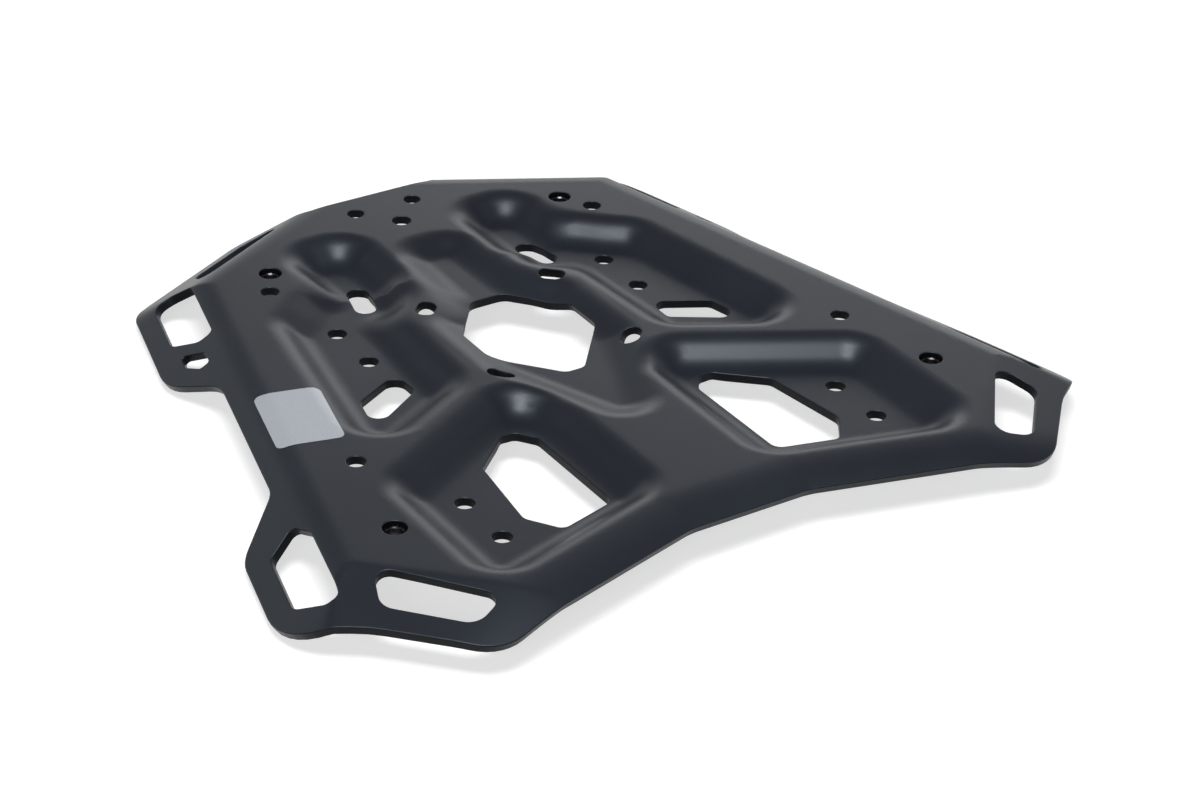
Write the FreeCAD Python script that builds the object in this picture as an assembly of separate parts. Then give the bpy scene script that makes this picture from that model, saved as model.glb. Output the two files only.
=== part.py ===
import FreeCAD, Part
import math
import os

Vector = FreeCAD.Vector
Vector2d = FreeCAD.Base.Vector2d

# Pressed sheet luggage rack for a motorcycle, in millimetres. X is across the machine, +Y points
# to the narrow front edge and Z is up. The rack is the same on both sides, so every outline gives
# the right half (X above 0). The flat top of the sheet is Z = 0 while the rack is modelled. At the
# end the whole rack is moved so that it stands on Z = 0 with its origin under its middle.

# Sheet
SHEET = 4.0
PATCH_STEP = 7.0
SLOPE_PROBE = 1.0
MEASURE_TOLERANCE = 0.05

# Bends along the edges: how far each line of bends lies out, its radius and its fall
SIDE_BEND_X = 136.3
SIDE_TAPER = 0.247
SIDE_RADIUS = 20.0
SIDE_FALL_DEG = 32.0
FRONT_BEND_POINT = (64.4, 138.0)
FRONT_BEND_SLOPE = -0.528
FRONT_RADIUS = 20.0
FRONT_FALL_DEG = 34.5
CORNER_BEND_POINT = (141.0, -133.0)
CORNER_BEND_SLOPE = 0.98
CORNER_RADIUS = 20.0
CORNER_FALL_DEG = 13.2
REAR_RADIUS = 59.0
REAR_FALL_DEG = 22.0
FLANGE_BLEND = 12.0
REAR_BLEND = 1.5

# Outer edge. The side and front flanges' corners are given along their bend and out from it.
FRONT_EDGE_Y = 148.5
FRONT_EDGE_HALF = 31.0
LOBE_REACH = 24.4
WAIST_REACH = 6.0
REAR_EDGE_Y = -156.1
REAR_EDGE_HALF = 28.0
REAR_SWEEP = -0.2665
REAR_CORNER_X = 131.0
FRONT_LOBE_CORNER = (16.0, 23.0, 10.0)
SIDE_CORNERS = (
    (126.0, LOBE_REACH, 16.0),
    (61.5, LOBE_REACH, 28.0),
    (37.0, WAIST_REACH, 21.0),
    (-50.8, WAIST_REACH, 12.0),
    (-78.3, LOBE_REACH, 20.0),
    (-139.0, LOBE_REACH, 30.0),
)
REAR_LOBE_WAIST = (166.4, -147.0, 60.0)
FRONT_EDGE_RADIUS = 8.0
REAR_CORNER_RADIUS = 20.0
REAR_EDGE_RADIUS = 20.0

# Pressed pockets
POCKET_DEPTH = 9.0
POCKET_CORNER = 12.0
WALL_DEG = 38.0
WALL_RADIUS = 15.0
POCKET_JOIN = 14.0

# Shallow channel along the middle: its depth, the width of its walls and its floor, in two shapes
CHANNEL_DEPTH = 5.0
CHANNEL_WALL = 20.0
CHANNEL_NECK = ((-3.0, 84.0), (3.0, 84.0), (5.0, 40.0), (-5.0, 40.0))
CHANNEL_FLOOR = (
    (-9.0, 35.0),
    (9.0, 35.0),
    (19.0, 26.0),
    (20.0, -13.0),
    (0.0, -62.0),
    (-20.0, -13.0),
    (-19.0, 26.0),
)

# Round holes: distance from the middle, place along Y, diameter
HOLES = {
    "front_pair": (14.7, 134.5, 7.5),
    "front_outer_pair": (83.0, 88.0, 8.0),
    "front_pocket_fore": (68.3, 54.8, 8.0),
    "front_pocket_aft": (68.3, 27.0, 8.0),
    "middle_pair": (119.1, -53.4, 8.0),
    "rear_pocket_fore": (90.7, -89.4, 8.0),
    "rear_pocket_aft": (90.7, -117.6, 8.0),
}
CENTRE_HOLE_Y = 118.3
CENTRE_HOLE = 8.4

# Threaded bushes in the corner holes
BUSH_PLACES = {"front": (74.9, 103.0), "rear": (129.9, -103.0)}
BUSH_HOLE = 10.0
BUSH_CLEARANCE = 0.05
BUSH_RECESS = 2.3
BUSH_THREAD_BORE = 6.8
BUSH_BODY = 12.0
BUSH_LENGTH = 6.0
BUSH_CHAMFER = 0.5

# Cutting: how deep a straight cutter reaches, and the share of a slot's width that rounds its ends
CUT_DEPTH = 40.0
ROUND_END = 0.499

# Slots on the slant beside the centre opening
SLANT_SLOTS = ((32.0, 41.6, -45.0), (32.4, -21.2, 45.0))
SLANT_SLOT_LENGTH = 11.8
SLANT_SLOT_WIDTH = 8.2

# Obround slot in each front pocket
POCKET_SLOT = (45.0, 75.0)
POCKET_SLOT_LENGTH = 22.0
POCKET_SLOT_WIDTH = 9.5

# Openings in plan: X, Y and corner radius
CENTRE_OPENING = ((8.0, 44.0, 7.0), (27.2, 18.5, 7.0), (27.2, -1.0, 7.0), (4.5, -28.0, 5.0))
FRONT_WINDOW = ((63.7, -3.7, 3.0), (63.9, 12.3, 5.0), (87.9, -0.5, 4.0), (92.8, -21.8, 5.0))
REAR_WINDOW = (
    (39.7, -62.0, 5.0),
    (45.8, -53.6, 4.0),
    (52.0, -53.6, 4.0),
    (70.9, -70.2, 5.0),
    (76.4, -110.5, 6.0),
    (66.8, -124.5, 4.0),
    (39.7, -117.3, 5.0),
)

# Slots in the flanges: distance along the bend, distance out from it and corner radius
SIDE_FRONT_SLOT = (
    (76.6, 0.0, 3.0),
    (75.8, 6.2, 5.0),
    (85.6, 16.1, 7.0),
    (121.9, 16.1, 8.0),
    (123.4, 7.4, 5.0),
    (118.2, 0.0, 5.0),
)
SIDE_REAR_SLOT = (
    (-87.8, -0.4, 6.0),
    (-78.1, 4.6, 3.0),
    (-87.7, 15.6, 5.0),
    (-122.7, 15.6, 6.0),
    (-132.2, 5.1, 4.0),
    (-131.2, -0.4, 4.0),
)
SIDE_SMALL_SLOT = (
    (57.6, 5.8, 1.8),
    (65.9, 5.8, 3.0),
    (74.2, 14.4, 1.5),
    (64.9, 14.6, 3.0),
    (57.2, 9.7, 1.8),
)
FRONT_SLOT = (
    (18.0, 0.0, 4.0),
    (18.0, 5.0, 4.0),
    (9.0, 14.0, 6.0),
    (-27.0, 14.0, 6.0),
    (-36.0, 5.0, 4.0),
    (-36.0, 0.0, 4.0),
)
CORNER_SLOT = ((150.1, -121.3, 5.0), (157.5, -140.5, 8.0), (132.2, -168.3, 8.0), (116.9, -161.7, 5.3))

# Pockets in plan, along the middle of their walls. Two overlapping shapes make the stepped front one.
FRONT_POCKET_LOBE = ((29.0, 76.0), (29.0, 115.0), (57.5, 115.0), (57.5, 52.0), (48.0, 52.0))
FRONT_POCKET_FLOOR = (
    (54.0, -17.0),
    (49.0, 55.0),
    (49.0, 93.0),
    (88.0, 61.5),
    (103.0, -20.0),
    (104.0, -44.0),
)
REAR_POCKET_FLOOR = ((28.5, -125.2), (28.5, -48.0), (38.0, -35.0), (112.0, -75.6), (112.0, -148.3))


class Bend:
    """A straight line of bends: past it the sheet falls at a steady angle."""

    def __init__(self, point, along, radius, fall_deg):
        size = math.hypot(*along)
        self.point = point
        self.along = (along[0] / size, along[1] / size)
        self.out = (self.along[1], -self.along[0])
        self.radius = radius
        self.fall = math.radians(fall_deg)
        self.arc_reach = radius * math.sin(self.fall)
        self.arc_drop = radius * (1.0 - math.cos(self.fall))

    def plan(self, s, d):
        """The plan point at s along the bend and d out from it."""
        x = self.point[0] + s * self.along[0] + d * self.out[0]
        y = self.point[1] + s * self.along[1] + d * self.out[1]
        return x, y

    def drop(self, x, y):
        """How far the sheet has fallen at a plan point."""
        d = (x - self.point[0]) * self.out[0] + (y - self.point[1]) * self.out[1]
        if d <= -self.arc_reach:
            return 0.0
        if d < 0.0:
            return self.radius - math.sqrt(self.radius ** 2 - (d + self.arc_reach) ** 2)
        return self.arc_drop + d * math.tan(self.fall)


SIDE = Bend((SIDE_BEND_X, 0.0), (-SIDE_TAPER, 1.0), SIDE_RADIUS, SIDE_FALL_DEG)
FRONT = Bend(FRONT_BEND_POINT, (-1.0, -FRONT_BEND_SLOPE), FRONT_RADIUS, FRONT_FALL_DEG)
CORNER = Bend(CORNER_BEND_POINT, (1.0, CORNER_BEND_SLOPE), CORNER_RADIUS, CORNER_FALL_DEG)
REAR_MIDDLE = Bend((0.0, REAR_EDGE_Y), (1.0, 0.0), REAR_RADIUS, REAR_FALL_DEG)
REAR_SIDE = Bend((REAR_EDGE_HALF, REAR_EDGE_Y), (1.0, REAR_SWEEP), REAR_RADIUS, REAR_FALL_DEG)
REAR_CORNER_Y = REAR_EDGE_Y + REAR_SWEEP * (REAR_CORNER_X - REAR_EDGE_HALF)


def combined(drops, sharpness):
    """The largest of several drops, with the crease between them rounded."""
    return sum(drop ** sharpness for drop in drops) ** (1.0 / sharpness)


def inset(outline, distance):
    """A convex outline drawn in by a distance. Its points run clockwise."""
    lines = []
    for (ax, ay), (bx, by) in zip(outline, outline[1:] + outline[:1]):
        length = math.hypot(bx - ax, by - ay)
        inward = ((by - ay) / length, -(bx - ax) / length)
        lines.append((inward, inward[0] * ax + inward[1] * ay + distance))
    points = []
    for (m, p), (n, q) in zip(lines[-1:] + lines[:-1], lines):
        cross = m[0] * n[1] - m[1] * n[0]
        points.append(((p * n[1] - q * m[1]) / cross, (q * m[0] - p * n[0]) / cross))
    return tuple(points)


def distance_outside(outline, x, y):
    """Distance from a convex clockwise outline, or 0 inside it."""
    inside = True
    nearest = math.inf
    for (ax, ay), (bx, by) in zip(outline, outline[1:] + outline[:1]):
        ex, ey = bx - ax, by - ay
        px, py = x - ax, y - ay
        if px * ey - py * ex < 0.0:
            inside = False
        t = min(1.0, max(0.0, (px * ex + py * ey) / (ex * ex + ey * ey)))
        nearest = min(nearest, math.hypot(px - t * ex, py - t * ey))
    return 0.0 if inside else nearest


POCKETS = tuple(
    tuple(inset(outline, POCKET_CORNER) for outline in pocket)
    for pocket in ((FRONT_POCKET_LOBE, FRONT_POCKET_FLOOR), (REAR_POCKET_FLOOR,))
)


def joined_distance(outlines, x, y):
    """Distance from the nearest of several outlines, run smoothly into one another."""
    nearest = distance_outside(outlines[0], x, y)
    for outline in outlines[1:]:
        distance = distance_outside(outline, x, y)
        overlap = max(0.0, POCKET_JOIN - abs(nearest - distance))
        nearest = min(nearest, distance) - overlap ** 2 / (4.0 * POCKET_JOIN)
    return nearest


def wall_depth(distance):
    """Depth of a pocket at a distance out from the middle of its wall."""
    angle = math.radians(WALL_DEG)
    radius = min(WALL_RADIUS, POCKET_DEPTH / 2.0 / (1.0 - math.cos(angle)))
    arc = radius * math.sin(angle)
    arc_drop = radius * (1.0 - math.cos(angle))
    half = arc + (POCKET_DEPTH / 2.0 - arc_drop) / math.tan(angle)
    inward = half - abs(distance)
    if inward <= 0.0:
        rise = 0.0
    elif inward < arc:
        rise = radius - math.sqrt(radius ** 2 - inward ** 2)
    else:
        rise = arc_drop + (inward - arc) * math.tan(angle)
    return rise if distance > 0.0 else POCKET_DEPTH - rise


def channel_depth(x, y):
    """Depth of the gently rounded channel along the middle."""
    across = joined_distance((CHANNEL_NECK, CHANNEL_FLOOR), x, y) / CHANNEL_WALL
    if across >= 1.0:
        return 0.0
    return CHANNEL_DEPTH * (1.0 + math.cos(math.pi * max(0.0, across))) / 2.0


def rear_drop(x, y):
    """Fall of the rear edge, which curls down over the last stretch before it."""
    return min(REAR_MIDDLE.drop(x, y), REAR_SIDE.drop(x, y))


def height(x, y):
    """Height of the sheet's top surface at a plan point."""
    x = abs(x)
    rear = combined((CORNER.drop(x, y), rear_drop(x, y)), REAR_BLEND)
    edges = combined((SIDE.drop(x, y), FRONT.drop(x, y), rear), FLANGE_BLEND)
    pressed = sum(wall_depth(joined_distance(pocket, x, y) - POCKET_CORNER) for pocket in POCKETS)
    return -(edges + pressed + channel_depth(x, y))


def corner_arcs(corners):
    """Start, middle and end of the arc at each corner of a closed outline."""
    arcs = []
    for before, corner, after in zip(corners[-1:] + corners[:-1], corners, corners[1:] + corners[:1]):
        to_before = Vector(before[0] - corner[0], before[1] - corner[1], 0.0).normalize()
        to_after = Vector(after[0] - corner[0], after[1] - corner[1], 0.0).normalize()
        half = to_before.getAngle(to_after) / 2.0
        point = Vector(corner[0], corner[1], 0.0)
        tangent = corner[2] / math.tan(half)
        middle = (to_before + to_after).normalize() * (corner[2] / math.sin(half) - corner[2])
        arcs.append((point + to_before * tangent, point + middle, point + to_after * tangent))
    return arcs


def mirrored_corners(corners):
    """A whole outline from the corners of its right half."""
    return list(corners) + [(-x, y, radius) for x, y, radius in reversed(corners)]


def flat_face(corners):
    """A flat face on Z = 0 with rounded corners."""
    arcs = corner_arcs(list(corners))
    edges = []
    for arc, following in zip(arcs, arcs[1:] + arcs[:1]):
        edges.append(Part.Arc(*arc).toShape())
        edges.append(Part.LineSegment(arc[2], following[0]).toShape())
    return Part.Face(Part.Wire(edges))


def outline_on(surface, corners):
    """A closed outline of rounded corners, laid on a surface whose parameters are X and Y."""
    arcs = corner_arcs(list(corners))
    edges = []
    for arc, following in zip(arcs, arcs[1:] + arcs[:1]):
        start, middle, end = (Vector2d(p.x, p.y) for p in arc)
        edges.append(Part.Geom2d.ArcOfCircle2d(start, middle, end).toShape(surface))
        edges.append(Part.Geom2d.Line2dSegment(end, Vector2d(following[0].x, following[0].y)).toShape(surface))
    return edges


def patch_knots(low, high):
    """Evenly spaced knots, their multiplicities and the pole places between them, for a cubic surface."""
    spans = math.ceil((high - low) / PATCH_STEP)
    knots = [low + (high - low) * i / spans for i in range(spans + 1)]
    row = [low] * 3 + knots + [high] * 3
    places = [sum(row[i + 1:i + 4]) / 3.0 for i in range(spans + 3)]
    return knots, [4] + [1] * (spans - 1) + [4], places


def sheet_points(x, y):
    """The sheet's top surface over a plan point, and the point one thickness below it."""
    slope_x = (height(x + SLOPE_PROBE, y) - height(x - SLOPE_PROBE, y)) / (2.0 * SLOPE_PROBE)
    slope_y = (height(x, y + SLOPE_PROBE) - height(x, y - SLOPE_PROBE)) / (2.0 * SLOPE_PROBE)
    normal = Vector(-slope_x, -slope_y, 1.0).normalize()
    top = Vector(x, y, height(x, y))
    return top, top - normal * SHEET


def poles_through(rows):
    """Poles that carry an evenly spaced cubic surface through rows of points, away from its border."""
    poles = list(rows)
    for i in range(3, len(rows) - 3):
        triples = zip(rows[i - 1], rows[i], rows[i + 1])
        poles[i] = [(here * 8.0 - before - after) * (1.0 / 6.0) for before, here, after in triples]
    return poles


def swapped(rows):
    """Rows turned into columns."""
    return [list(column) for column in zip(*rows)]


def sheet_surfaces(half_width, low_y, high_y):
    """The top of the pressed sheet, and its underside one thickness below it."""
    x_knots, x_repeats, x_places = patch_knots(-half_width, half_width)
    y_knots, y_repeats, y_places = patch_knots(low_y, high_y)
    points = [[sheet_points(x, y) for y in y_places] for x in x_places]
    surfaces = []
    for face in (0, 1):
        rows = [[pair[face] for pair in row] for row in points]
        poles = swapped(poles_through(swapped(poles_through(rows))))
        surface = Part.BSplineSurface()
        surface.buildFromPolesMultsKnots(poles, x_repeats, y_repeats, x_knots, y_knots, False, False, 3, 3)
        surfaces.append(surface)
    return surfaces


def outer_corners():
    """The rack's outer edge in plan, with a radius at each corner."""
    right = [(FRONT_EDGE_HALF, FRONT_EDGE_Y, FRONT_EDGE_RADIUS)]
    right.append(FRONT.plan(*FRONT_LOBE_CORNER[:2]) + FRONT_LOBE_CORNER[2:])
    right.extend(SIDE.plan(s, d) + (radius,) for s, d, radius in SIDE_CORNERS)
    right.append(REAR_LOBE_WAIST)
    right.append((REAR_CORNER_X, REAR_CORNER_Y, REAR_CORNER_RADIUS))
    right.append((REAR_EDGE_HALF, REAR_EDGE_Y, REAR_EDGE_RADIUS))
    return mirrored_corners(right)


def pressed_sheet():
    """The pressed sheet with its outer edge cut square to its surface, before any opening."""
    corners = outer_corners()
    half_width = max(x for x, y, radius in corners) + PATCH_STEP
    low_y = min(y for x, y, radius in corners) - PATCH_STEP
    high_y = max(y for x, y, radius in corners) + PATCH_STEP
    top, under = sheet_surfaces(half_width, low_y, high_y)
    top_edges = outline_on(top, corners)
    under_edges = outline_on(under, corners)
    faces = [Part.Face(top, Part.Wire(top_edges)), Part.Face(under, Part.Wire(under_edges))]
    faces.extend(Part.makeRuledSurface(upper, lower) for upper, lower in zip(top_edges, under_edges))
    shell = Part.Shell(faces)
    shell.sewShape()
    return Part.Solid(shell)


def plan_cutter(corners):
    """A straight cutter through a level stretch of sheet."""
    face = flat_face(corners)
    face.translate(Vector(0.0, 0.0, -CUT_DEPTH))
    return face.extrude(Vector(0.0, 0.0, CUT_DEPTH + SHEET))


def flange_cutter(bend, corners):
    """A cutter square to a flange, from corners along its bend and out from it."""
    stretch = 1.0 / math.cos(bend.fall)
    face = flat_face([(s, d * stretch, radius) for s, d, radius in corners])
    face.translate(Vector(0.0, 0.0, -2.0 * SHEET))
    cutter = face.extrude(Vector(0.0, 0.0, 4.0 * SHEET))
    along = Vector(bend.along[0], bend.along[1], 0.0)
    out = Vector(bend.out[0], bend.out[1], -math.tan(bend.fall)).normalize()
    normal = along.cross(out)
    frame = FreeCAD.Matrix(
        along.x, out.x, normal.x, bend.point[0],
        along.y, out.y, normal.y, bend.point[1],
        along.z, out.z, normal.z, -bend.arc_drop,
        0.0, 0.0, 0.0, 1.0,
    )
    cutter.transformShape(frame)
    return cutter


def obround(x, y, length, width, turn_deg):
    """The rounded corners of a slot with round ends, turned from +Y towards +X."""
    turn = math.radians(turn_deg)
    along = (math.sin(turn), math.cos(turn))
    across = (along[1], -along[0])
    corners = []
    for end, side in ((-1, -1), (1, -1), (1, 1), (-1, 1)):
        a = end * length / 2.0
        b = side * width / 2.0
        corners.append((x + a * along[0] + b * across[0], y + a * along[1] + b * across[1], ROUND_END * width))
    return corners


def round_cutter(x, y, diameter):
    """A drill for a round hole."""
    return Part.makeCylinder(diameter / 2.0, CUT_DEPTH + SHEET, Vector(x, y, -CUT_DEPTH))


def both_sides(shape):
    """A shape and its mirror image on the other side of the rack."""
    return [shape, shape.mirror(Vector(0.0, 0.0, 0.0), Vector(1.0, 0.0, 0.0))]


def rack_plate():
    """The pressed sheet with its slots, windows and holes."""
    cutters = [plan_cutter(mirrored_corners(CENTRE_OPENING)), round_cutter(0.0, CENTRE_HOLE_Y, CENTRE_HOLE)]
    for x, y, diameter in HOLES.values():
        cutters.extend(both_sides(round_cutter(x, y, diameter)))
    for x, y in BUSH_PLACES.values():
        cutters.extend(both_sides(round_cutter(x, y, BUSH_HOLE)))
    for x, y, turn in SLANT_SLOTS:
        slot = obround(x, y, SLANT_SLOT_LENGTH, SLANT_SLOT_WIDTH, turn)
        cutters.extend(both_sides(plan_cutter(slot)))
    taper_deg = -math.degrees(math.atan(SIDE_TAPER))
    pocket_slot = obround(*POCKET_SLOT, POCKET_SLOT_LENGTH, POCKET_SLOT_WIDTH, taper_deg)
    for window in (pocket_slot, FRONT_WINDOW, REAR_WINDOW, CORNER_SLOT):
        cutters.extend(both_sides(plan_cutter(window)))
    for slot in (SIDE_FRONT_SLOT, SIDE_REAR_SLOT, SIDE_SMALL_SLOT):
        cutters.extend(both_sides(flange_cutter(SIDE, slot)))
    cutters.extend(both_sides(flange_cutter(FRONT, FRONT_SLOT)))
    return pressed_sheet().cut(cutters)


def threaded_bush(x, y):
    """A self-clinching bush: its shank fills the hole from below and its body sits under the sheet."""
    shank = BUSH_HOLE / 2.0 - BUSH_CLEARANCE
    bore = BUSH_THREAD_BORE / 2.0
    body = BUSH_BODY / 2.0
    under = -SHEET
    foot = under - BUSH_LENGTH
    profile = (
        (bore, -BUSH_RECESS - BUSH_CHAMFER),
        (bore + BUSH_CHAMFER, -BUSH_RECESS),
        (shank, -BUSH_RECESS),
        (shank, under),
        (body - BUSH_CHAMFER, under),
        (body, under - BUSH_CHAMFER),
        (body, foot + BUSH_CHAMFER),
        (body - BUSH_CHAMFER, foot),
        (bore + BUSH_CHAMFER, foot),
        (bore, foot + BUSH_CHAMFER),
    )
    points = [Vector(x + r, y, z) for r, z in profile]
    face = Part.Face(Part.makePolygon(points + points[:1]))
    return face.revolve(Vector(x, y, 0.0), Vector(0.0, 0.0, 1.0), 360.0)


def build():
    """Every piece of the rack, standing on Z = 0 with the origin under its middle."""
    pieces = {"rack_plate": rack_plate()}
    for end, (x, y) in BUSH_PLACES.items():
        right, left = both_sides(threaded_bush(x, y))
        pieces["threaded_bush_" + end + "_right"] = right
        pieces["threaded_bush_" + end + "_left"] = left
    corners, triangles = pieces["rack_plate"].tessellate(MEASURE_TOLERANCE)
    middle_y = (min(corner.y for corner in corners) + max(corner.y for corner in corners)) / 2.0
    to_origin = Vector(0.0, -middle_y, -min(corner.z for corner in corners))
    print("moved by", to_origin)
    for piece in pieces.values():
        piece.translate(to_origin)
    return pieces


os.makedirs("parts", exist_ok=True)
for name, piece in build().items():
    piece.exportStep("parts/" + name + ".step")
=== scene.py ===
import math

import bpy
import numpy as np
from mathutils import Matrix, Vector
from mathutils.geometry import delaunay_2d_cdt

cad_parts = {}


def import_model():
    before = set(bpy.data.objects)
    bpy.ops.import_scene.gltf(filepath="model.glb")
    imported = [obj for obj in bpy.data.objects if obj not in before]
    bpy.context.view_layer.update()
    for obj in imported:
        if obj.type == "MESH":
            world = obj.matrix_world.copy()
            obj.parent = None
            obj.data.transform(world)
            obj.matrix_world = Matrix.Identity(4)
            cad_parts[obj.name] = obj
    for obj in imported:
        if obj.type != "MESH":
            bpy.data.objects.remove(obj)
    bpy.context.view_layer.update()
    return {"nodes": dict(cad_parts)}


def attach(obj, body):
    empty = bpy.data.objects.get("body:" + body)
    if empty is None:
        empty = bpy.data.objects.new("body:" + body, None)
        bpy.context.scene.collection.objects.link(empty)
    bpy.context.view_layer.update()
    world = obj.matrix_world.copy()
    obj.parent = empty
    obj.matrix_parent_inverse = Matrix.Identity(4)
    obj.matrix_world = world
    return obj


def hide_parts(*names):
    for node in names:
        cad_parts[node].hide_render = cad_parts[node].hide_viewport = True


# The looks of a pressed sheet luggage rack. The sheet's sizes are in millimetres, in the frame it was
# drawn in: its flat top is Z = 0 and +Y points to the narrow front edge. The rack is the same on both
# sides, so the outlines give the right half. Points are moved into the CAD frame, in metres, when a
# piece is made.

MM = 0.001

# Sheet and the rounding that a powder coat leaves on its cut edges
SHEET = 4.0
EDGE_ROUND = 0.5

# Fineness: the grid on the faces, the points along the outlines, the turns over a cut edge, and how
# far to each side a slope is measured
GRID_STEP = 2.4
LOOP_STEP = 2.0
ARC_STEP_DEG = 9.0
ROUND_HOLE_POINTS = 40
EDGE_TURNS_DEG = (0.0, 30.0, 60.0, 90.0)
SLOPE_PROBE = 0.4

# Room between an outline and the grid inside it, as a share of the grid's step
SHEET_GRID_ROOM = 0.45
LABEL_GRID_ROOM = 0.7

# Points nearer to each other than this count as one when a plan is meshed
MERGE_DISTANCE = 1e-6

# Bends along the edges: a point on the line of bends, its direction, its radius and its fall
SIDE_BEND_X = 136.3
SIDE_TAPER = 0.247
SIDE_RADIUS = 20.0
SIDE_FALL_DEG = 32.0
FRONT_BEND_POINT = (64.4, 138.0)
FRONT_BEND_SLOPE = -0.528
FRONT_RADIUS = 20.0
FRONT_FALL_DEG = 34.5
CORNER_BEND_POINT = (141.0, -133.0)
CORNER_BEND_SLOPE = 0.98
CORNER_RADIUS = 20.0
CORNER_FALL_DEG = 13.2
REAR_SWEEP = -0.2665
REAR_EDGE_Y = -156.1
REAR_EDGE_HALF = 28.0
REAR_RADIUS = 59.0
REAR_FALL_DEG = 22.0

# How sharply bends run into one another: a larger value makes a sharper crease
FLANGE_BLEND = 12.0
REAR_BLEND = 1.5

# Outer edge: X, Y and corner radius. The side and front flanges' corners are given along their bend
# and out from it.
FRONT_EDGE_CORNER = (31.0, 148.5, 8.0)
FRONT_LOBE_CORNER = (16.0, 23.0, 10.0)
LOBE_REACH = 24.4
WAIST_REACH = 6.0
SIDE_CORNERS = (
    (126.0, LOBE_REACH, 16.0),
    (61.5, LOBE_REACH, 28.0),
    (37.0, WAIST_REACH, 21.0),
    (-50.8, WAIST_REACH, 12.0),
    (-78.3, LOBE_REACH, 20.0),
    (-139.0, LOBE_REACH, 30.0),
)
REAR_LOBE_WAIST = (166.4, -147.0, 60.0)
REAR_CORNER_X = 131.0
REAR_CORNER_RADIUS = 20.0
REAR_EDGE_RADIUS = 20.0

# Pressed pockets: depth, corner radius in plan, the walls' angle and rounding, and how broadly two
# overlapping shapes run into one another
POCKET_DEPTH = 9.0
POCKET_CORNER = 12.0
WALL_DEG = 38.0
WALL_RADIUS = 15.0
POCKET_JOIN = 14.0

# Pockets in plan, along the middle of their walls. Two overlapping shapes make the stepped front one.
FRONT_POCKET_LOBE = ((29.0, 76.0), (29.0, 115.0), (57.5, 115.0), (57.5, 52.0), (48.0, 52.0))
FRONT_POCKET_FLOOR = (
    (54.0, -17.0),
    (49.0, 55.0),
    (49.0, 93.0),
    (88.0, 61.5),
    (103.0, -20.0),
    (104.0, -44.0),
)
REAR_POCKET_FLOOR = ((28.5, -125.2), (28.5, -48.0), (38.0, -35.0), (112.0, -75.6), (112.0, -148.3))

# Shallow channel along the middle: its depth, the width of its walls and its floor, in two shapes
# that reach over both halves
CHANNEL_DEPTH = 5.0
CHANNEL_WALL = 20.0
CHANNEL_FLOORS = (
    ((-3.0, 84.0), (3.0, 84.0), (5.0, 40.0), (-5.0, 40.0)),
    ((-9.0, 35.0), (9.0, 35.0), (19.0, 26.0), (20.0, -13.0), (0.0, -62.0), (-20.0, -13.0), (-19.0, 26.0)),
)

# Round holes: distance from the middle, place along Y, diameter. The last two hold the bushes.
ROUND_HOLES = (
    (14.7, 134.5, 7.5),
    (83.0, 88.0, 8.0),
    (68.3, 54.8, 8.0),
    (68.3, 27.0, 8.0),
    (119.1, -53.4, 8.0),
    (90.7, -89.4, 8.0),
    (90.7, -117.6, 8.0),
    (74.9, 103.0, 10.0),
    (129.9, -103.0, 10.0),
)
CENTRE_HOLE = (0.0, 118.3, 8.4)

# Slots with round ends: place, length, width and turn from +Y towards +X, and the share of the width
# that rounds their ends
ROUND_END = 0.499
OBROUNDS = (
    (32.0, 41.6, 11.8, 8.2, -45.0),
    (32.4, -21.2, 11.8, 8.2, 45.0),
    (45.0, 75.0, 22.0, 9.5, -13.9),
)

# Openings in plan: X, Y and corner radius. The windows are the front one, the rear one and the
# strap slot in the rear corner.
CENTRE_OPENING = ((8.0, 44.0, 7.0), (27.2, 18.5, 7.0), (27.2, -1.0, 7.0), (4.5, -28.0, 5.0))
WINDOWS = (
    ((63.7, -3.7, 3.0), (63.9, 12.3, 5.0), (87.9, -0.5, 4.0), (92.8, -21.8, 5.0)),
    (
        (39.7, -62.0, 5.0),
        (45.8, -53.6, 4.0),
        (52.0, -53.6, 4.0),
        (70.9, -70.2, 5.0),
        (76.4, -110.5, 6.0),
        (66.8, -124.5, 4.0),
        (39.7, -117.3, 5.0),
    ),
    ((150.1, -121.3, 5.0), (157.5, -140.5, 8.0), (132.2, -168.3, 8.0), (116.9, -161.7, 5.3)),
)

# Slots in the flanges: distance along the bend, distance out from it and corner radius. The side
# flange has a front slot, a rear slot and a small one.
SIDE_SLOTS = (
    (
        (76.6, 0.0, 3.0),
        (75.8, 6.2, 5.0),
        (85.6, 16.1, 7.0),
        (121.9, 16.1, 8.0),
        (123.4, 7.4, 5.0),
        (118.2, 0.0, 5.0),
    ),
    (
        (-87.8, -0.4, 6.0),
        (-78.1, 4.6, 3.0),
        (-87.7, 15.6, 5.0),
        (-122.7, 15.6, 6.0),
        (-132.2, 5.1, 4.0),
        (-131.2, -0.4, 4.0),
    ),
    (
        (57.6, 5.8, 1.8),
        (65.9, 5.8, 3.0),
        (74.2, 14.4, 1.5),
        (64.9, 14.6, 3.0),
        (57.2, 9.7, 1.8),
    ),
)
FRONT_SLOTS = (
    (
        (18.0, 0.0, 4.0),
        (18.0, 5.0, 4.0),
        (9.0, 14.0, 6.0),
        (-27.0, 14.0, 6.0),
        (-36.0, 5.0, 4.0),
        (-36.0, 0.0, 4.0),
    ),
)

# Blank film label beside the left bend: middle, size, corner radius, thickness and grid
LABEL_PLACE = (-122.0, -11.2)
LABEL_SIZE = (28.0, 42.0)
LABEL_CORNER = 3.0
LABEL_FILM = 0.12
LABEL_STEP = 1.5

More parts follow.
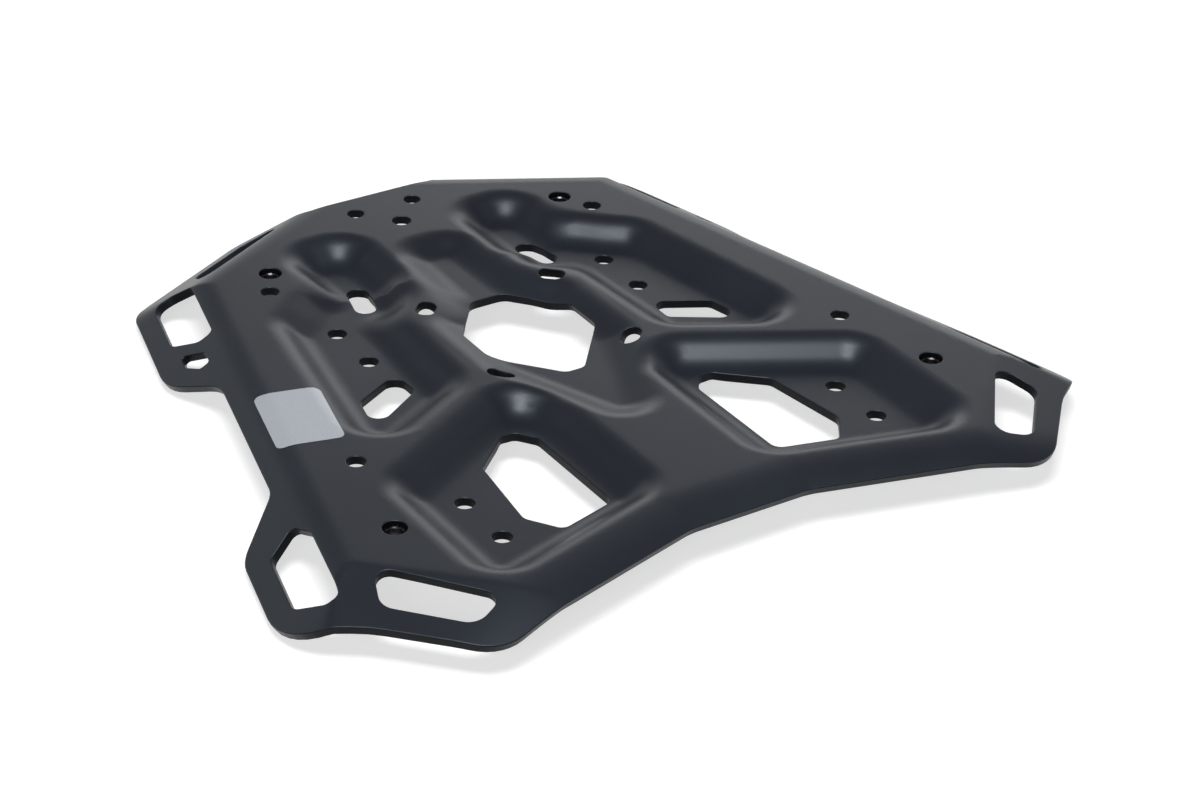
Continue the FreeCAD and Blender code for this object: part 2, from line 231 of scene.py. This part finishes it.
# Powder coat: tones and roughness of its faces, the painted shade on the walls of the cuts (a darker tone
# and weaker gloss in place of the dark floor they reflect), and how upright a normal stands where that
# painted shade begins to fade and where it has gone
COAT_TONES = ((0.0120, 0.0150, 0.0215), (0.0160, 0.0195, 0.0280))
COAT_ROUGHNESS = (0.35, 0.43)
COAT_TINT = (0.84, 0.93, 1.0)
COAT_GLOSS = 0.5
# Painted shade on the cut walls: their darker tone, their weaker gloss and the range over which the shade
# fades
CUT_WALL_PAINTED_SHADE = (0.0040, 0.0044, 0.0055)
CUT_WALL_SHADE_GLOSS = 0.12
CUT_WALL_SHADE_FADE = (0.30, 0.62)

# Plated steel of the bushes, and the label's film
BUSH_TONES = ((0.070, 0.070, 0.075), (0.120, 0.120, 0.130))
BUSH_ROUGHNESS = (0.22, 0.34)
LABEL_TONES = ((0.44, 0.47, 0.52), (0.50, 0.53, 0.58))
LABEL_ROUGHNESS = (0.36, 0.44)
LABEL_METAL = 0.2

# The part of a noise's values that is spread over a range
NOISE_RANGE = (0.3, 0.7)

# Camera, in the frame the sheet was drawn in: its place and the directions of its picture
CAMERA_PLACE = (-621.0, -971.0, 641.8)
CAMERA_RIGHT = (0.8384194, -0.54434049, 0.0273191)
CAMERA_DOWN = (-0.25562095, -0.4370001, -0.86237395)
CAMERA_AHEAD = (0.48136351, 0.71604772, -0.5055342)
CAMERA_LENS = 93.0
SENSOR_WIDTH = 36.0

# Floor: its size and how far it lies below the rack, in metres, then its tone, its own glow and the
# share that the glow has in its look
FLOOR_SIZE = 12.0
FLOOR_GAP = 0.0002
FLOOR_TONE = (0.85, 0.85, 0.85)
FLOOR_GLOW = 1.77
FLOOR_SHARE = 0.36

# Studio: its light from the horizon up, and the heights between which it fades, as the Z of a
# direction
SKY_LIGHT = (1.0, 0.06)
SKY_FADE = (0.05, 0.56)

# Softboxes, turned to the rack's middle: name, place, width and height in metres, and power in watts
SOFTBOXES = (
    ("overhead", (-0.30, -0.36, 1.5), (0.7, 0.5), 18.0),
    ("camera_side", (-1.3, -1.2, 0.9), (0.6, 0.4), 5.0),
    ("far_right", (1.05, 1.2, 0.5), (1.2, 0.35), 2.4),
)


class Bend:
    """A straight line of bends: past it the sheet falls at a steady angle."""

    def __init__(self, point, along, radius, fall_deg):
        size = math.hypot(*along)
        self.point = point
        self.along = (along[0] / size, along[1] / size)
        self.out = (self.along[1], -self.along[0])
        self.radius = radius
        self.fall = math.radians(fall_deg)
        self.arc_reach = radius * math.sin(self.fall)

    def plan(self, s, d):
        """The plan point at a distance s along the bend and d out from it."""
        x = self.point[0] + s * self.along[0] + d * self.out[0]
        y = self.point[1] + s * self.along[1] + d * self.out[1]
        return x, y

    def drop(self, x, y):
        """How far the sheet has fallen at a plan point: along an arc, then at a steady slope."""
        d = (x - self.point[0]) * self.out[0] + (y - self.point[1]) * self.out[1]
        into = np.clip(d + self.arc_reach, 0.0, self.arc_reach)
        arc = self.radius - np.sqrt(self.radius ** 2 - into ** 2)
        return arc + np.maximum(d, 0.0) * math.tan(self.fall)


SIDE = Bend((SIDE_BEND_X, 0.0), (-SIDE_TAPER, 1.0), SIDE_RADIUS, SIDE_FALL_DEG)
FRONT = Bend(FRONT_BEND_POINT, (-1.0, -FRONT_BEND_SLOPE), FRONT_RADIUS, FRONT_FALL_DEG)
CORNER = Bend(CORNER_BEND_POINT, (1.0, CORNER_BEND_SLOPE), CORNER_RADIUS, CORNER_FALL_DEG)
REAR_MIDDLE = Bend((0.0, REAR_EDGE_Y), (1.0, 0.0), REAR_RADIUS, REAR_FALL_DEG)
REAR_SIDE = Bend((REAR_EDGE_HALF, REAR_EDGE_Y), (1.0, REAR_SWEEP), REAR_RADIUS, REAR_FALL_DEG)


def combined(drops, sharpness):
    """Several drops run into one another: near the largest, with a rounded crease where two meet."""
    return sum(drop ** sharpness for drop in drops) ** (1.0 / sharpness)


def inset(outline, distance):
    """A convex clockwise outline drawn in by a distance."""
    lines = []
    for (ax, ay), (bx, by) in zip(outline, outline[1:] + outline[:1]):
        length = math.hypot(bx - ax, by - ay)
        inward = ((by - ay) / length, -(bx - ax) / length)
        lines.append((inward, inward[0] * ax + inward[1] * ay + distance))
    points = []
    for (m, p), (n, q) in zip(lines[-1:] + lines[:-1], lines):
        cross = m[0] * n[1] - m[1] * n[0]
        points.append(((p * n[1] - q * m[1]) / cross, (q * m[0] - p * n[0]) / cross))
    return tuple(points)


def distance_outside(outline, x, y):
    """Distance from a convex clockwise outline, or 0 inside it."""
    inside = np.ones(x.shape, bool)
    nearest = np.full(x.shape, np.inf)
    for (ax, ay), (bx, by) in zip(outline, outline[1:] + outline[:1]):
        ex, ey = bx - ax, by - ay
        px, py = x - ax, y - ay
        inside &= px * ey - py * ex >= 0.0
        t = np.clip((px * ex + py * ey) / (ex * ex + ey * ey), 0.0, 1.0)
        nearest = np.minimum(nearest, np.hypot(px - t * ex, py - t * ey))
    return np.where(inside, 0.0, nearest)


POCKETS = tuple(
    tuple(inset(outline, POCKET_CORNER) for outline in pocket)
    for pocket in ((FRONT_POCKET_LOBE, FRONT_POCKET_FLOOR), (REAR_POCKET_FLOOR,))
)


def joined_distance(outlines, x, y):
    """Distance from the nearest of several outlines, run smoothly into one another."""
    nearest = distance_outside(outlines[0], x, y)
    for outline in outlines[1:]:
        distance = distance_outside(outline, x, y)
        overlap = np.maximum(0.0, POCKET_JOIN - abs(nearest - distance))
        nearest = np.minimum(nearest, distance) - overlap ** 2 / (4.0 * POCKET_JOIN)
    return nearest


def wall_depth(distance):
    """Depth of a pocket at a distance out from the middle of its wall."""
    angle = math.radians(WALL_DEG)
    arc = WALL_RADIUS * math.sin(angle)
    arc_drop = WALL_RADIUS * (1.0 - math.cos(angle))
    half = arc + (POCKET_DEPTH / 2.0 - arc_drop) / math.tan(angle)
    inward = np.clip(half - abs(distance), 0.0, half)
    curved = WALL_RADIUS - np.sqrt(WALL_RADIUS ** 2 - np.minimum(inward, arc) ** 2)
    rise = curved + np.maximum(0.0, inward - arc) * math.tan(angle)
    return np.where(distance > 0.0, rise, POCKET_DEPTH - rise)


def channel_depth(x, y):
    """Depth of the gently rounded channel along the middle."""
    across = np.clip(joined_distance(CHANNEL_FLOORS, x, y) / CHANNEL_WALL, 0.0, 1.0)
    return CHANNEL_DEPTH * (1.0 + np.cos(math.pi * across)) / 2.0


def height(x, y):
    """Height of the sheet's top surface."""
    x = abs(x)
    rear_edge = np.minimum(REAR_MIDDLE.drop(x, y), REAR_SIDE.drop(x, y))
    rear = combined((CORNER.drop(x, y), rear_edge), REAR_BLEND)
    edges = combined((SIDE.drop(x, y), FRONT.drop(x, y), rear), FLANGE_BLEND)
    pressed = sum(wall_depth(joined_distance(pocket, x, y) - POCKET_CORNER) for pocket in POCKETS)
    return -(edges + pressed + channel_depth(x, y))


def surface(plan):
    """Points and unit normals of the top surface over an array of plan points."""
    x, y = plan[:, 0], plan[:, 1]
    slope_x = (height(x + SLOPE_PROBE, y) - height(x - SLOPE_PROBE, y)) / (2.0 * SLOPE_PROBE)
    slope_y = (height(x, y + SLOPE_PROBE) - height(x, y - SLOPE_PROBE)) / (2.0 * SLOPE_PROBE)
    normals = np.stack((-slope_x, -slope_y, np.ones(len(x))), axis=1)
    normals /= np.linalg.norm(normals, axis=1)[:, None]
    return np.stack((x, y, height(x, y)), axis=1), normals


def rounded_loop(corners):
    """Plan points round a closed outline, with an arc at each corner."""
    points = []
    for before, corner, after in zip(corners[-1:] + corners[:-1], corners, corners[1:] + corners[:1]):
        here = Vector(corner[:2])
        to_before = (Vector(before[:2]) - here).normalized()
        to_after = (Vector(after[:2]) - here).normalized()
        half = to_before.angle(to_after) / 2.0
        centre = here + (to_before + to_after).normalized() * (corner[2] / math.sin(half))
        start = here + to_before * (corner[2] / math.tan(half)) - centre
        turn = math.pi - 2.0 * half
        side = 1.0 if to_before.cross(to_after) < 0.0 else -1.0
        steps = max(2, math.ceil(math.degrees(turn) / ARC_STEP_DEG))
        for i in range(steps + 1):
            angle = side * turn * i / steps
            points.append(centre + Matrix.Rotation(angle, 2) @ start)
    return np.array(points)


def subdivided(loop):
    """A loop with points added along its long stretches."""
    points = []
    for a, b in zip(loop, np.roll(loop, -1, axis=0)):
        count = max(1, math.ceil(np.linalg.norm(b - a) / LOOP_STEP))
        points.extend(a + (b - a) * i / count for i in range(count))
    return np.array(points)


def mirrored_corners(corners):
    """The right half's corners and, in turn, their mirror images."""
    return list(corners) + [(-x, y, radius) for x, y, radius in reversed(corners)]


def obround_corners(x, y, length, width, turn_deg):
    """Corners of a turned slot, rounded so far that its ends are round."""
    turn = math.radians(turn_deg)
    along = Vector((math.sin(turn), math.cos(turn)))
    across = Vector((along.y, -along.x))
    corners = []
    for end, side in ((-1, -1), (1, -1), (1, 1), (-1, 1)):
        point = Vector((x, y)) + along * (end * length / 2.0) + across * (side * width / 2.0)
        corners.append((point.x, point.y, ROUND_END * width))
    return corners


def circle_loop(x, y, diameter):
    """Plan points round a hole."""
    angles = np.arange(ROUND_HOLE_POINTS) * (2.0 * math.pi / ROUND_HOLE_POINTS)
    return np.stack((x + np.cos(angles) * diameter / 2.0, y + np.sin(angles) * diameter / 2.0), axis=1)


def flange_loop(bend, corners):
    """A slot cut square to a flange, as plan points."""
    stretch = 1.0 / math.cos(bend.fall)
    flat = subdivided(rounded_loop([(s, d * stretch, radius) for s, d, radius in corners]))
    return np.array([bend.plan(s, d / stretch) for s, d in flat])


def outer_loop():
    """Plan points round the whole sheet."""
    right = [FRONT_EDGE_CORNER, FRONT.plan(*FRONT_LOBE_CORNER[:2]) + FRONT_LOBE_CORNER[2:]]
    right.extend(SIDE.plan(s, d) + (radius,) for s, d, radius in SIDE_CORNERS)
    right.append(REAR_LOBE_WAIST)
    corner_y = REAR_EDGE_Y + REAR_SWEEP * (REAR_CORNER_X - REAR_EDGE_HALF)
    right.append((REAR_CORNER_X, corner_y, REAR_CORNER_RADIUS))
    right.append((REAR_EDGE_HALF, REAR_EDGE_Y, REAR_EDGE_RADIUS))
    return subdivided(rounded_loop(mirrored_corners(right)))


def opening_loops():
    """Plan points round every opening: those on the middle line, then the right and the left ones."""
    middle = [subdivided(rounded_loop(mirrored_corners(CENTRE_OPENING))), circle_loop(*CENTRE_HOLE)]
    right = [circle_loop(*hole) for hole in ROUND_HOLES]
    right.extend(subdivided(rounded_loop(obround_corners(*slot))) for slot in OBROUNDS)
    right.extend(subdivided(rounded_loop(list(window))) for window in WINDOWS)
    right.extend(flange_loop(SIDE, slot) for slot in SIDE_SLOTS)
    right.extend(flange_loop(FRONT, slot) for slot in FRONT_SLOTS)
    left = [loop * (-1.0, 1.0) for loop in right]
    return middle + right + left


def turned(loop, anticlockwise):
    """The loop with its points running the asked way round."""
    following = np.roll(loop, -1, axis=0)
    area = np.sum(loop[:, 0] * following[:, 1] - following[:, 0] * loop[:, 1])
    return loop if (area > 0.0) == anticlockwise else loop[::-1]


def inside_loops(loops, points):
    """Which points lie inside the outer loop and outside every opening."""
    crossings = np.zeros(len(points), int)
    for loop in loops:
        for (ax, ay), (bx, by) in zip(loop, np.roll(loop, -1, axis=0)):
            if ay == by:
                continue
            spans = (points[:, 1] < ay) != (points[:, 1] < by)
            at = ax + (points[:, 1] - ay) * (bx - ax) / (by - ay)
            crossings += spans & (points[:, 0] < at)
    return crossings % 2 == 1


def away_from(points, edge_points, gap):
    """Which points lie at least a gap away from every edge point."""
    far = np.ones(len(points), bool)
    for edge in edge_points:
        near = np.hypot(points[:, 0] - edge[0], points[:, 1] - edge[1]) < gap
        far &= ~near
    return far


def cut_edge(loop):
    """Rings of points and normals that round over the cut edge along one loop, from top to underside."""
    points, normals = surface(loop)
    ahead = np.roll(loop, -1, axis=0) - np.roll(loop, 1, axis=0)
    into = np.stack((-ahead[:, 1], ahead[:, 0], np.zeros(len(loop))), axis=1)
    into -= np.sum(into * normals, axis=1)[:, None] * normals
    into /= np.linalg.norm(into, axis=1)[:, None]
    rings = []
    for depth, start in ((EDGE_ROUND, 0.0), (SHEET - EDGE_ROUND, 90.0)):
        for turn in EDGE_TURNS_DEG:
            angle = math.radians(start + turn)
            direction = math.cos(angle) * normals - math.sin(angle) * into
            centre = points + EDGE_ROUND * into - depth * normals
            rings.append((centre + EDGE_ROUND * direction, direction))
    return rings


def plan_mesh(loops, columns, rows, room):
    """Plan points and triangles that fill the loops: the loops' own points, then a grid inside them."""
    loop_points = np.concatenate(loops)
    grid = np.stack(np.meshgrid(columns, rows), axis=-1).reshape(-1, 2)
    grid = grid[inside_loops(loops, grid)]
    grid = grid[away_from(grid, loop_points, room)]
    plan = np.concatenate((loop_points, grid))
    fixed = []
    start = 0
    for loop in loops:
        count = len(loop)
        fixed.extend((start + i, start + (i + 1) % count) for i in range(count))
        start += count
    result = delaunay_2d_cdt([Vector(p) for p in plan], fixed, [], 0, MERGE_DISTANCE)
    if len(result[0]) != len(plan):
        raise RuntimeError("the plan's points were merged")
    triangles = np.array(result[2])
    return plan, triangles[inside_loops(loops, plan[triangles].mean(axis=1))]


def both_sides(triangles, count):
    """Faces of the top and, a count of points further on and turned over, of the underside."""
    top = [tuple(int(i) for i in triangle) for triangle in triangles]
    under = [tuple(i + count for i in reversed(triangle)) for triangle in top]
    return top + under


def band(upper, lower):
    """Faces between two rings of points, given by their numbers."""
    count = len(upper)
    following = [(i + 1) % count for i in range(count)]
    return [(upper[i], lower[i], lower[j], upper[j]) for i, j in enumerate(following)]


def sheet_mesh():
    """Points, normals and faces of the whole pressed sheet."""
    loops = [turned(outer_loop(), True)] + [turned(loop, False) for loop in opening_loops()]
    edges = [cut_edge(loop) for loop in loops]
    rims = [rings[0][0][:, :2] for rings in edges]
    low = np.concatenate(rims).min(axis=0)
    high = np.concatenate(rims).max(axis=0)
    columns = np.arange(GRID_STEP / 2.0, high[0], GRID_STEP)
    columns = np.concatenate((-columns[::-1], columns))
    rows = np.arange(low[1], high[1], GRID_STEP)
    plan, triangles = plan_mesh(rims, columns, rows, GRID_STEP * SHEET_GRID_ROOM)
    top, normals = surface(plan)
    points = [top, top - SHEET * normals]
    directions = [normals, -normals]
    faces = both_sides(triangles, len(plan))
    rim_start = 0
    ring_start = 2 * len(plan)
    for rings in edges:
        count = len(rings[0][0])
        upper = range(rim_start, rim_start + count)
        for ring, direction in rings[1:-1]:
            points.append(ring)
            directions.append(direction)
            lower = range(ring_start, ring_start + count)
            faces.extend(band(upper, lower))
            upper = lower
            ring_start += count
        faces.extend(band(upper, range(rim_start + len(plan), rim_start + len(plan) + count)))
        rim_start += count
    return np.concatenate(points), np.concatenate(directions), faces


def into_frame(points):
    """Points moved from the drawing's frame, in millimetres, to the CAD frame in metres."""
    return points * MM + FRAME_MOVE


def mesh_object(name, points, normals, faces, material):
    """A piece of the scene with its own normals and one material."""
    mesh = bpy.data.meshes.new(name)
    mesh.from_pydata([tuple(p) for p in into_frame(points)], [], [tuple(int(i) for i in f) for f in faces])
    mesh.update()
    mesh.polygons.foreach_set("use_smooth", [True] * len(mesh.polygons))
    mesh.normals_split_custom_set_from_vertices([tuple(n) for n in normals])
    mesh.materials.append(material)
    piece = bpy.data.objects.new(name, mesh)
    bpy.context.collection.objects.link(piece)
    return piece


def new_material(name):
    """A new material with its nodes, its links and its shader."""
    material = bpy.data.materials.new(name)
    material.use_nodes = True
    nodes = material.node_tree.nodes
    return material, nodes, material.node_tree.links, nodes["Principled BSDF"]


def noise(nodes, links, scale, detail):
    """A noise over the piece's own coordinates."""
    coordinates = nodes.new("ShaderNodeTexCoord")
    texture = nodes.new("ShaderNodeTexNoise")
    texture.inputs["Scale"].default_value = scale
    texture.inputs["Detail"].default_value = detail
    links.new(coordinates.outputs["Object"], texture.inputs["Vector"])
    return texture.outputs["Fac"]


def spread(nodes, links, source, old, new):
    """A value moved from the old range to the new one, and held within it."""
    change = nodes.new("ShaderNodeMapRange")
    change.inputs["From Min"].default_value = old[0]
    change.inputs["From Max"].default_value = old[1]
    change.inputs["To Min"].default_value = new[0]
    change.inputs["To Max"].default_value = new[1]
    links.new(source, change.inputs["Value"])
    return change.outputs["Result"]


def mixed(nodes, links, factor, tones):
    """A colour that goes from the first tone to the second as the factor goes from 0 to 1."""
    mix = nodes.new("ShaderNodeMix")
    mix.data_type = "RGBA"
    mix.inputs["A"].default_value = tones[0] + (1.0,)
    mix.inputs["B"].default_value = tones[1] + (1.0,)
    links.new(factor, mix.inputs["Factor"])
    return mix


def relief(nodes, links, source, strength, distance):
    """A fine relief raised by a noise."""
    bump = nodes.new("ShaderNodeBump")
    bump.inputs["Strength"].default_value = strength
    bump.inputs["Distance"].default_value = distance
    links.new(source, bump.inputs["Height"])
    return bump


def mottled(nodes, links, shader, texture, tones, roughness):
    """Base colour and roughness that vary with a noise."""
    tone = mixed(nodes, links, spread(nodes, links, texture, NOISE_RANGE, (0.0, 1.0)), tones)
    links.new(tone.outputs["Result"], shader.inputs["Base Color"])
    rough = spread(nodes, links, texture, NOISE_RANGE, roughness)
    links.new(rough, shader.inputs["Roughness"])


def cut_wall_shade_mask(nodes, links):
    """Mask for the painted shade on the cut walls: 1 on the walls of cut edges, whose normals lie flat,
    fading to 0 on the sheet's faces.
    """
    geometry = nodes.new("ShaderNodeNewGeometry")
    split = nodes.new("ShaderNodeSeparateXYZ")
    upright = nodes.new("ShaderNodeMath")
    upright.operation = "ABSOLUTE"
    links.new(geometry.outputs["Normal"], split.inputs[0])
    links.new(split.outputs["Z"], upright.inputs[0])
    return spread(nodes, links, upright.outputs[0], CUT_WALL_SHADE_FADE, (1.0, 0.0))


def powder_coat():
    """Satin black powder coat: a fine grain, a very slight orange peel and painted shade on the walls at
    the cuts, made darker and less glossy.
    """
    material, nodes, links, shader = new_material("plate_coat")
    grain = noise(nodes, links, scale=2600.0, detail=2.0)
    peel = noise(nodes, links, scale=420.0, detail=1.0)
    cloud = noise(nodes, links, scale=22.0, detail=3.0)
    face = mixed(nodes, links, spread(nodes, links, cloud, NOISE_RANGE, (0.0, 1.0)), COAT_TONES)
    # Painted shade: the cut walls get a darker tone and weaker gloss in place of the dark reflection of
    # the shadowed floor under the sheet
    wall = cut_wall_shade_mask(nodes, links)
    tone = mixed(nodes, links, wall, (COAT_TONES[0], CUT_WALL_PAINTED_SHADE))
    links.new(face.outputs["Result"], tone.inputs["A"])
    links.new(tone.outputs["Result"], shader.inputs["Base Color"])
    gloss = spread(nodes, links, wall, (0.0, 1.0), (COAT_GLOSS, CUT_WALL_SHADE_GLOSS))
    links.new(gloss, shader.inputs["Specular IOR Level"])
    shader.inputs["Specular Tint"].default_value = COAT_TINT + (1.0,)
    rough = spread(nodes, links, grain, NOISE_RANGE, COAT_ROUGHNESS)
    links.new(rough, shader.inputs["Roughness"])
    fine = relief(nodes, links, grain, strength=0.22, distance=0.00006)
    broad = relief(nodes, links, peel, strength=0.10, distance=0.0001)
    links.new(fine.outputs["Normal"], broad.inputs["Normal"])
    links.new(broad.outputs["Normal"], shader.inputs["Normal"])
    return material


def bush_metal():
    """Blackened plated steel with faint turning marks."""
    material, nodes, links, shader = new_material("bush_metal")
    marks = noise(nodes, links, scale=900.0, detail=3.0)
    mottled(nodes, links, shader, marks, BUSH_TONES, BUSH_ROUGHNESS)
    shader.inputs["Metallic"].default_value = 1.0
    return material


def label_film():
    """Satin silver-grey film, left blank."""
    material, nodes, links, shader = new_material("label_film")
    fleck = noise(nodes, links, scale=1500.0, detail=2.0)
    mottled(nodes, links, shader, fleck, LABEL_TONES, LABEL_ROUGHNESS)
    shader.inputs["Metallic"].default_value = LABEL_METAL
    return material


def label(material):
    """The blank film, which follows the sheet under it."""
    along = Vector((-SIDE.along[0], SIDE.along[1]))
    across = Vector((along.y, -along.x))
    corners = []
    for side, end in ((-0.5, -0.5), (0.5, -0.5), (0.5, 0.5), (-0.5, 0.5)):
        point = Vector(LABEL_PLACE) + across * (side * LABEL_SIZE[0]) + along * (end * LABEL_SIZE[1])
        corners.append((point.x, point.y, LABEL_CORNER))
    loop = turned(subdivided(rounded_loop(corners)), True)
    low, high = loop.min(axis=0), loop.max(axis=0)
    columns = np.arange(low[0], high[0], LABEL_STEP)
    rows = np.arange(low[1], high[1], LABEL_STEP)
    plan, triangles = plan_mesh([loop], columns, rows, LABEL_STEP * LABEL_GRID_ROOM)
    under, normals = surface(plan)
    points = np.concatenate((under + LABEL_FILM * normals, under))
    directions = np.concatenate((normals, -normals))
    rim = band(range(len(loop)), range(len(plan), len(plan) + len(loop)))
    faces = both_sides(triangles, len(plan)) + rim
    return mesh_object("blank_label", points, directions, faces, material)


def seen_ray(nodes, links):
    """1 for the rays by which the background is seen, straight, mirrored or through something."""
    light_path = nodes.new("ShaderNodeLightPath")
    seen = light_path.outputs["Is Camera Ray"]
    for kind in ("Is Glossy Ray", "Is Transmission Ray"):
        either = nodes.new("ShaderNodeMath")
        either.operation = "MAXIMUM"
        links.new(seen, either.inputs[0])
        links.new(light_path.outputs[kind], either.inputs[1])
        seen = either.outputs[0]
    return seen


def floor_material():
    """A white floor that keeps the rack's soft shadow."""
    material, nodes, links, shader = new_material("floor")
    nodes.remove(shader)
    output = nodes["Material Output"]
    matte = nodes.new("ShaderNodeBsdfDiffuse")
    matte.inputs["Color"].default_value = FLOOR_TONE + (1.0,)
    glow = nodes.new("ShaderNodeEmission")
    glow.inputs["Strength"].default_value = FLOOR_GLOW
    blend = nodes.new("ShaderNodeMixShader")
    share = nodes.new("ShaderNodeMath")
    share.operation = "MULTIPLY"
    share.inputs[1].default_value = FLOOR_SHARE
    links.new(seen_ray(nodes, links), share.inputs[0])
    links.new(share.outputs[0], blend.inputs["Fac"])
    links.new(matte.outputs[0], blend.inputs[1])
    links.new(glow.outputs[0], blend.inputs[2])
    links.new(blend.outputs[0], output.inputs["Surface"])
    return material


def floor():
    """The studio's floor, just under the rack."""
    bpy.ops.mesh.primitive_plane_add(size=FLOOR_SIZE, location=(0.0, 0.0, -FLOOR_GAP))
    plane = bpy.context.object
    plane.name = "floor"
    plane.data.materials.append(floor_material())


def world():
    """A studio that is white near the horizon and dimmer higher up."""
    scene_world = bpy.data.worlds.new("studio")
    scene_world.use_nodes = True
    bpy.context.scene.world = scene_world
    nodes = scene_world.node_tree.nodes
    links = scene_world.node_tree.links
    background = nodes["Background"]
    background.inputs["Color"].default_value = (1.0, 1.0, 1.0, 1.0)
    coordinates = nodes.new("ShaderNodeTexCoord")
    split = nodes.new("ShaderNodeSeparateXYZ")
    links.new(coordinates.outputs["Generated"], split.inputs[0])
    strength = spread(nodes, links, split.outputs["Z"], SKY_FADE, SKY_LIGHT)
    links.new(strength, background.inputs["Strength"])


def softbox(name, place, size, power):
    """A rectangular light turned to the rack's middle."""
    data = bpy.data.lights.new(name, "AREA")
    data.shape = "RECTANGLE"
    data.size = size[0]
    data.size_y = size[1]
    data.energy = power
    lamp = bpy.data.objects.new(name, data)
    lamp.location = place
    lamp.rotation_euler = (-Vector(place)).to_track_quat("-Z", "Y").to_euler()
    bpy.context.collection.objects.link(lamp)


def camera():
    """The photo's camera, turned so that its picture's axes are the ones named above."""
    data = bpy.data.cameras.new("camera")
    data.lens = CAMERA_LENS
    data.sensor_width = SENSOR_WIDTH
    viewer = bpy.data.objects.new("camera", data)
    right = Vector(CAMERA_RIGHT)
    up = -Vector(CAMERA_DOWN)
    back = -Vector(CAMERA_AHEAD)
    turn = Matrix((right, up, back)).transposed().to_4x4()
    place = Vector(into_frame(np.array(CAMERA_PLACE)))
    viewer.matrix_world = Matrix.Translation(place) @ turn
    bpy.context.collection.objects.link(viewer)
    bpy.context.scene.camera = viewer


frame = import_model()
sheet = sheet_mesh()

# The frame's origin lies under the middle of the sheet's box, so the sheet's own box gives the move
edge_y = outer_loop()[:, 1]
middle_y = (edge_y.min() + edge_y.max()) / 2.0
FRAME_MOVE = np.array((0.0, -MM * middle_y, -MM * sheet[0][:, 2].min()))

plate = mesh_object("pressed_plate", *sheet, powder_coat())
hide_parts("rack_plate")
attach(plate, "root")

blank = label(label_film())
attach(blank, "root")

bush_finish = bush_metal()
for name, node in frame["nodes"].items():
    if name.startswith("threaded_bush"):
        node.data.materials.clear()
        node.data.materials.append(bush_finish)

floor()
world()
camera()
for values in SOFTBOXES:
    softbox(*values)

bpy.context.scene.view_settings.view_transform = "Standard"
